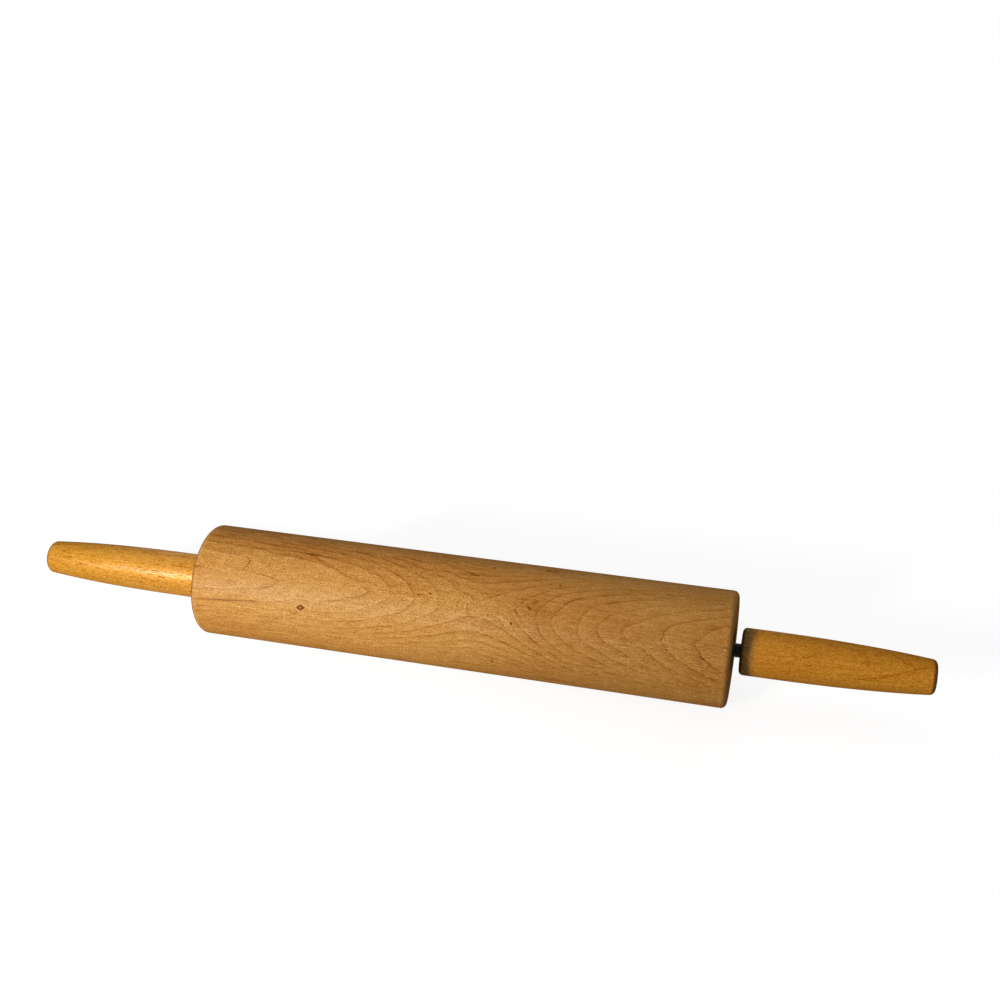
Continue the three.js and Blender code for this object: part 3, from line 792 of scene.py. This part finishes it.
def handleWood(side):
    h = handle
    g = h[side]
    w = Finish(side + "_varnished_maple")
    place = w.aboutAxis(g["turn"])
    along, across, depth = w.split(place)
    swing = w.math("ARCTAN2", across, depth) * h["radius"]
    n = w.layers(place, {name: (*row, g["move"]) for name, row in h["fibres"].items()})
    n.update(w.layers(place, h["layers"]))
    start = h["start"]
    stop = start + h["length"]
    fromMiddle = along.size()

    def nearInner(name):
        first, full = h[name]
        return fromMiddle.ease(start + first, start + full)

    # slanted growth layers, fibres and short dark dashes
    ring = (depth + across * h["slant"] + along * g["lean"]) / g["gap"] + (n["drift"] - 0.5) * h["warp"]
    share = ring.part()
    lines = share.ease(*h["lineAt"]) * share.ease(*h["lineEnd"])
    dash = w.noise(place, *h["dashes"], g["dashMove"]).ease(*h["dashAt"])
    tone = sum(((n[name] - 0.5) * far for name, far in h["swings"].items()), h["base"])
    tone = tone - lines * g["ring"] - dash * g["dash"] - spots(g["marks"], along, swing)
    innerEnd = nearInner("innerEnd")
    first, full = h["tipEnd"]
    tipEnd = fromMiddle.ease(stop - first, stop - full)
    # painted shade: darker at the inner end of both handles, where the barrel shades them
    tone = tone - innerEnd * h["innerShade"] - tipEnd * h["tipDark"]

    # colour, with the barrel's shadow painted on the right handle's inner end, painted deep shade on its inner
    # edge, and a rubbed tip
    colour = w.blend(1.0, w.ramp(tone, h["tones"]), g["tint"], "MULTIPLY")
    # painted shadow: the barrel's cast shadow on the inner end, dark grey, on the right handle only
    paintedShadow = nearInner("paintedShadow") * (1.0 + (n["rub"] - 0.5) * 0.8)
    colour = w.blend(paintedShadow * g["soil"], colour, h["paintedShadowColour"])
    # painted deep shade: the right handle's inner edge near black where it faces the barrel
    colour = w.blend(innerEnd * g["soil"], colour, h["innerShadeColour"])
    colour = w.blend(tipEnd * g["tip"] * (0.7 + n["rub"] * 0.6), colour, h["tipColour"])
    colour = w.grained(colour, (n["speckle"] - 0.5) * h["speckle"])

    # most polished towards the inner end, where the hands hold it
    first, full = h["polished"]
    polish = 0.20 + fromMiddle.ease(stop - first, start + full) * 0.95
    glint = n["glint"].ease(*h["glintAt"])
    sheen = polish * (0.30 + glint * 1.7 - n["rub"].ease(*h["rubAt"]) * 0.25) * (1.0 - dash * 0.7)
    dull = h["dull"] + (n["rub"] - 0.5) * 0.22 + dash * 0.06
    sockets = {"Base Color": colour, "Roughness": dull, "Specular IOR Level": 0.0,
               "Metallic": polish * g["silk"],        # warm sheen of the fibres under the varnish
               "Coat Weight": sheen * g["gloss"], "Coat Roughness": h["coatDull"], "Coat IOR": h["coatIor"]}
    height = n["fineFibre"] * 0.5 + n["longFibre"] * 0.3 - dash * 0.5 + n["speckle"] * 0.6
    return w.surface(sockets, height, *h["bump"])


# plug that hides the nut in each handle's tip
plug = {
    "face": 314.8, "end": 322.8, "radius": 7.06, "chamfer": 0.5, "edge": 0.25, "edgeDrop": 0.12, "hub": 0.6,
    "sink": 0.02, "crown": 0.10, "faceRows": 8, "sides": 72,
    "turn": 12.0, "pithDepth": 31.0, "gap": 1.5, "warp": 0.8, "lineAt": (0.55, 0.95), "lineEnd": (1.0, 0.96),
    "poreAt": (0.58, 0.72),
    "layers": {
        "drift": ((0.02, 0.2, 0.2), 2.0, 0.5),
        "pores": ((0.1, 3.2, 3.2), 2.0, 0.6),
        "grain": ((0.1, 1.6, 1.6), 3.0, 0.6, (4, 1, 6)),
    },
    "base": 0.40, "grain": 0.4, "lines": 0.16, "pores": 0.14,
    "dull": 0.42, "coat": 0.02, "coatGrain": 0.04, "coatDull": 0.40, "coatIor": 3.0, "bump": (0.12, 0.15),
}


def plugShape(side):
    # a disc with a bevelled inner edge and a face that falls by crown (r / radius) ^ 2, closed on the axis
    p = plug
    r = np.linspace(p["radius"] - p["edge"], p["hub"], p["faceRows"])
    crown = np.column_stack((p["end"] - p["sink"] - p["crown"] * (r / p["radius"]) ** 2, r))
    start = [(p["face"], p["hub"]), (p["face"], p["radius"] - p["chamfer"]),
             (p["face"] + p["chamfer"], p["radius"]), (p["end"] - p["edge"] - p["edgeDrop"], p["radius"])]
    profile = np.vstack((start, crown))
    grid = turnedGrid(profile[:, :1], profile[:, 1:], p["sides"])
    return capPoints(grid, profile) * sideTurn(side), cappedFaces(len(profile), p["sides"])


def plugWood():
    # end grain: rings about a pith outside the plug, and pores
    p = plug
    w = Finish("plug_maple_end")
    place = w.aboutAxis(p["turn"])
    along, across, depth = w.split(place)
    n = w.layers(place, p["layers"])
    far = ((depth + p["pithDepth"]) ** 2.0 + across * across).root()
    share = (far / p["gap"] + n["drift"] * p["warp"]).part()
    lines = share.ease(*p["lineAt"]) * share.ease(*p["lineEnd"])
    pores = n["pores"].ease(*p["poreAt"])
    tone = p["base"] + (n["grain"] - 0.5) * p["grain"] - lines * p["lines"] - pores * p["pores"]
    dull = p["dull"] + (n["grain"] - 0.5) * 0.2
    sockets = {"Base Color": w.ramp(tone, handle["tones"]), "Roughness": dull, "Specular IOR Level": 0.0,
               "Coat Weight": p["coat"] + n["grain"] * p["coatGrain"],
               "Coat Roughness": p["coatDull"], "Coat IOR": p["coatIor"]}
    return w.surface(sockets, n["grain"] - pores, *p["bump"])


plugFinish = plugWood()
for side in bothSides:
    grid = handleShape(side)
    faces = loopFaces(*grid.shape[:2])
    addPiece(side + "_grip", grid, faces, handleWood(side), "axle", side + "_handle")
    points, faces = plugShape(side)
    addPiece(side + "_tip_plug", points, faces, plugFinish, "axle", side + "_handle_plug")
print("handles and plugs made")


# metal finishes: darkest and palest colour, roughness, metallic, specular level
metals = {
    "blackened_steel": {"low": (0.004, 0.004, 0.004), "high": (0.018, 0.016, 0.015),
                        "rough": 0.46, "metal": 0.0, "shine": 0.15},
    "browned_steel": {"low": (0.15, 0.105, 0.062), "high": (0.29, 0.215, 0.13),
                      "rough": 0.55, "metal": 0.0, "shine": 0.0},
    "spring_steel": {"low": (0.05, 0.047, 0.044), "high": (0.12, 0.11, 0.10),
                     "rough": 0.36, "metal": 0.9, "shine": 0.15},
    "bearing_steel": {"low": (0.50, 0.51, 0.52), "high": (0.66, 0.67, 0.68),
                      "rough": 0.16, "metal": 1.0, "shine": 0.15},
    "pressed_brass": {"low": (0.50, 0.32, 0.10), "high": (0.72, 0.52, 0.22),
                      "rough": 0.30, "metal": 1.0, "shine": 0.15},
    "bright_zinc": {"low": (0.34, 0.34, 0.33), "high": (0.56, 0.57, 0.56),
                    "rough": 0.34, "metal": 1.0, "shine": 0.15},
}

metalLayers = {
    "lathe": ((6.0, 6.0, 1.0), 2.0, 0.6),      # over x and the distance from the axis
    "blotch": ((0.3, 0.3, 0.3), 4.0, 0.6),
    "speck": ((2.5, 2.5, 2.5), 2.0, 0.5, (3, 5, 1)),
}


def metalFinish(name):
    # turning marks round the axis, blotches and fine specks
    m = metals[name]
    w = Finish(name)
    place = w.aboutAxis(0.0)
    along, across, depth = w.split(place)
    outward = (across * across + depth * depth).root()
    lathe = w.noise(w.joined(along, outward, 0.0), *metalLayers["lathe"])
    blotch = w.noise(place, *metalLayers["blotch"])
    speck = w.noise(place, *metalLayers["speck"]).ease(0.62, 0.72)
    share = blotch * 0.7 + lathe * 0.5 - 0.1 - speck * 0.35
    colour = w.ramp(share, [(0.15, m["low"]), (0.85, m["high"])])
    rough = m["rough"] + (blotch - 0.5) * 0.25 + speck * 0.12
    sockets = {"Base Color": colour, "Metallic": m["metal"], "Roughness": rough,
               "Specular IOR Level": m["shine"]}
    return w.surface(sockets, lathe - speck, 0.08, 0.05)


finishes = {name: metalFinish(name) for name in metals}


# rod with its retaining-ring grooves and threaded ends
rod = {
    "radius": 4.7625, "groove": 3.8625, "grooveAt": (185.8, 186.8), "grooveEdge": 0.05,
    "shoulder": 210.75, "end": 313.6, "edge": 0.25, "neck": 3.0, "sides": 64, "sharp": 40.0,
    "thread": 3.175, "threadPitch": 1.27, "threadDepth": 0.35, "threadFrom": 4.0, "threadTo": 0.8,
    "threadRows": 300, "point": ((0.4, 0.1), (0.0, 0.6)),      # back from the end, in from the thread
}


def rodShape():
    # a stepped round rod; the threaded stretch dips by a cosine of the distance along it
    r = rod
    first, last = r["grooveAt"]
    edge = r["grooveEdge"]
    shoulder = r["shoulder"]
    plain = [(0.0, r["radius"]), (first - edge, r["radius"]), (first, r["radius"] - edge),
             (first, r["groove"]), (last, r["groove"]), (last, r["radius"] - edge), (last + edge, r["radius"]),
             (shoulder - r["edge"], r["radius"]), (shoulder, r["radius"] - r["edge"]),
             (shoulder, r["thread"]), (shoulder + r["neck"], r["thread"])]
    x = np.linspace(shoulder + r["threadFrom"], r["end"] - r["threadTo"], r["threadRows"])
    dip = 0.5 - 0.5 * np.cos(2 * np.pi * (x - x[0]) / r["threadPitch"])
    thread = np.column_stack((x, r["thread"] - r["threadDepth"] * dip))
    point = [(r["end"] - back, r["thread"] - down) for back, down in r["point"]]
    half = np.vstack((plain, thread, point))
    profile = np.vstack((half[:0:-1] * (-1.0, 1.0), half))
    grid = turnedGrid(profile[:, :1], profile[:, 1:], r["sides"])
    return capPoints(grid, profile), cappedFaces(len(profile), r["sides"])


points, faces = rodShape()
blackened = finishes["blackened_steel"]
addPiece("axle_shaft", points, faces, blackened, "axle", "axle_rod", rod["sharp"])
print("rod made")


# pressed cap in each end of the barrel
cap = {
    "face": 190.5, "thick": 1.0, "rim": 15.1125, "skirt": 11.1125, "wall": 1.0, "skirtLength": 3.6,
    "hole": 5.2625, "roll": 0.45, "rollRows": 6, "lip": 0.3, "backEdge": 0.2,
    "dish": 0.35, "dishHalf": 2.2, "faceRows": 26, "sides": 96,
}


def capShape(side):
    # a flange with a rolled edge, a skirt behind, and a face that dips by dish exp -((r - middle) / half) ^ 4
    c = cap
    front = c["face"]
    back = front - c["thick"]
    skirtEnd = back - c["skirtLength"]
    inside = c["skirt"] - c["wall"]
    roll = edgeArc(front - c["roll"], c["rim"] - c["roll"], c["roll"], c["roll"], 0, 90, c["rollRows"])[:-1]
    r = np.linspace(c["rim"] - c["roll"], c["hole"] + c["lip"], c["faceRows"])
    middle = (c["rim"] + c["hole"]) / 2
    face = np.column_stack((front - c["dish"] * np.exp(-((r - middle) / c["dishHalf"]) ** 4), r))
    rest = [(front - c["lip"], c["hole"]), (back, c["hole"]), (back, inside), (skirtEnd, inside),
            (skirtEnd, c["skirt"] - c["lip"]), (skirtEnd + c["lip"], c["skirt"]), (back, c["skirt"]),
            (back, c["rim"] - c["backEdge"]), (back + c["backEdge"], c["rim"])]
    profile = np.vstack((roll, face, rest))
    return turnedGrid(profile[:, :1], profile[:, 1:], c["sides"]) * sideTurn(side)


browned = finishes["browned_steel"]
for side in bothSides:
    grid = capShape(side)
    faces = loopFaces(*grid.shape[:2])
    addPiece(side + "_end_cap", grid, faces, browned, "barrel", side + "_dust_cap")
print("end caps made")


# solids that stay as they are get their finish by the record's slot
slotFinish = {"ring_steel": "spring_steel", "bearing_steel": "bearing_steel", "cage_brass": "pressed_brass",
              "fastener_steel": "bright_zinc"}

for row in frame["record"]["subparts"]:
    if row["material_slot"] in slotFinish:
        kept = bpy.data.objects[row["node"]]
        kept.data.materials.clear()
        kept.data.materials.append(finishes[slotFinish[row["material_slot"]]])
print("kept solids finished")
